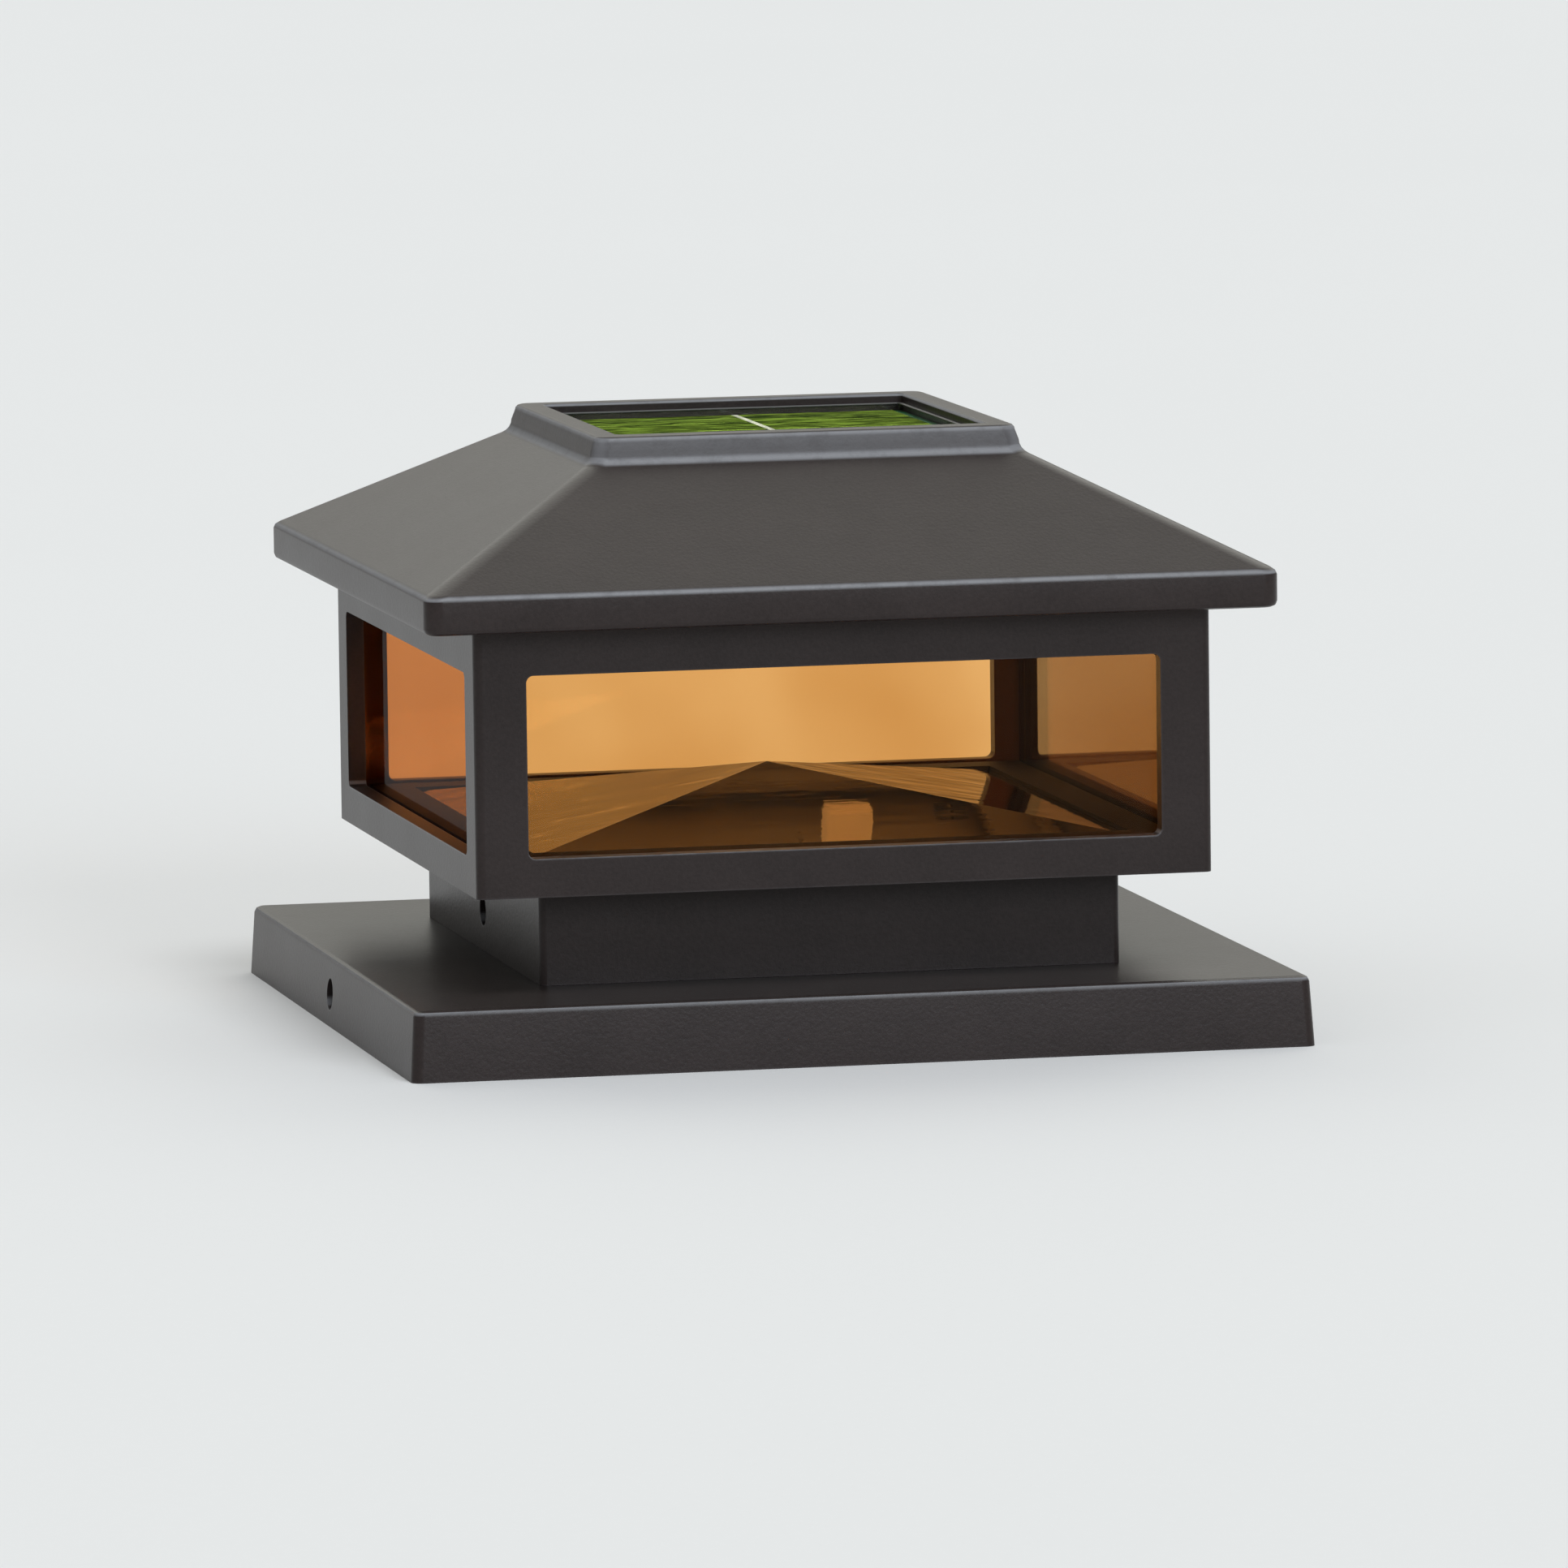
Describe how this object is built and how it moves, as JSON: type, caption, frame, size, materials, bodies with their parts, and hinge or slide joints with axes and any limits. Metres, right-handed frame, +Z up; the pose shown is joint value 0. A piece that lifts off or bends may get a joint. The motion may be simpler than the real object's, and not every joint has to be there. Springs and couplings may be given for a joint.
{
  "type": "solar post cap light",
  "caption": "Square solar lantern cap for a deck post: skirt, collar, glazed lantern with a mirror pyramid, and a lift-off hipped roof that holds a solar panel.",
  "frame": {"origin": "centre of the skirt's bottom rim", "axes": "+Z up, -Y the front, +X to the right seen from the front"},
  "size_m": [0.1494, 0.1494, 0.0993],
  "materials": {
    "powder_coat": "dark bronze powder coat, satin, fine texture",
    "amber_glass": "amber tinted, clear",
    "mirror_film": "polished",
    "black_plastic": "moulded",
    "foam_rubber": "closed-cell foam",
    "zinc_steel": "zinc plated",
    "magnet_nickel": "nickel plated",
    "solar_wafer": "blue-black silicon with fine fingers",
    "solar_ribbon": "tinned",
    "clear_cover": "clear, gloss",
    "grey_sealant": "satin",
    "green_laminate": "solder mask",
    "chip_black": "moulded",
    "capacitor_sleeve": "shrink sleeve",
    "copper_coil": "enamelled copper wire",
    "cell_sleeve": "shrink sleeve, plain",
    "lamp_white": "frosted",
    "emitter_yellow": "phosphor",
    "wire_insulation": "PVC"
  },
  "bodies": {
    "skirt": {"post_skirt": "powder_coat"},
    "lantern": {"post_collar": "powder_coat", "floor_plate": "powder_coat", "lantern_frame": "powder_coat", "frame_screws": "zinc_steel", "mirror_pyramid": "mirror_film", "pane_front": "amber_glass", "pane_back": "amber_glass", "pane_left": "amber_glass", "pane_right": "amber_glass", "lower_glazing_frame": "powder_coat", "upper_glazing_frame": "black_plastic", "keeper_plates": "zinc_steel", "roof_gasket": "foam_rubber"},
    "roof": {"roof_shell": "powder_coat", "roof_tray": "black_plastic", "tray_screws": "zinc_steel", "roof_magnets": "magnet_nickel", "panel_seal": "foam_rubber", "panel_backboard": "green_laminate", "solar_cells": "solar_wafer", "solar_busbar": "solar_ribbon", "panel_cover": "clear_cover", "panel_bead": "grey_sealant", "circuit_board": "green_laminate", "board_screws": "zinc_steel", "control_chip": "chip_black", "filter_capacitor": "capacitor_sleeve", "boost_coil": "copper_coil", "switch_body": "zinc_steel", "battery_cell": "cell_sleeve", "battery_spring": "zinc_steel", "battery_spring_plate": "zinc_steel", "battery_contact": "zinc_steel", "lamp_holder": "black_plastic", "lamp_board": "green_laminate", "lamp_emitter": "emitter_yellow", "lamp_block": "lamp_white", "solar_wires": "wire_insulation", "battery_wires": "wire_insulation", "lamp_wires": "wire_insulation"},
    "battery_door": {"battery_door": "black_plastic"},
    "switch_slider": {"switch_slider": "black_plastic"}
  },
  "joints": [
    {"name": "lantern_lift", "type": "slide", "parent": "skirt", "child": "lantern", "axis": [0, 0, 1], "range_m": [0, 0.03]},
    {"name": "roof_lift", "type": "slide", "parent": "lantern", "child": "roof", "axis": [0, 0, 1], "range_m": [0, 0.06]},
    {"name": "battery_door_slide", "type": "slide", "parent": "roof", "child": "battery_door", "axis": [1, 0, 0], "range_m": [0, 0.012]},
    {"name": "switch_slide", "type": "slide", "parent": "roof", "child": "switch_slider", "axis": [1, 0, 0], "range_m": [0, 0.003]}
  ]
}
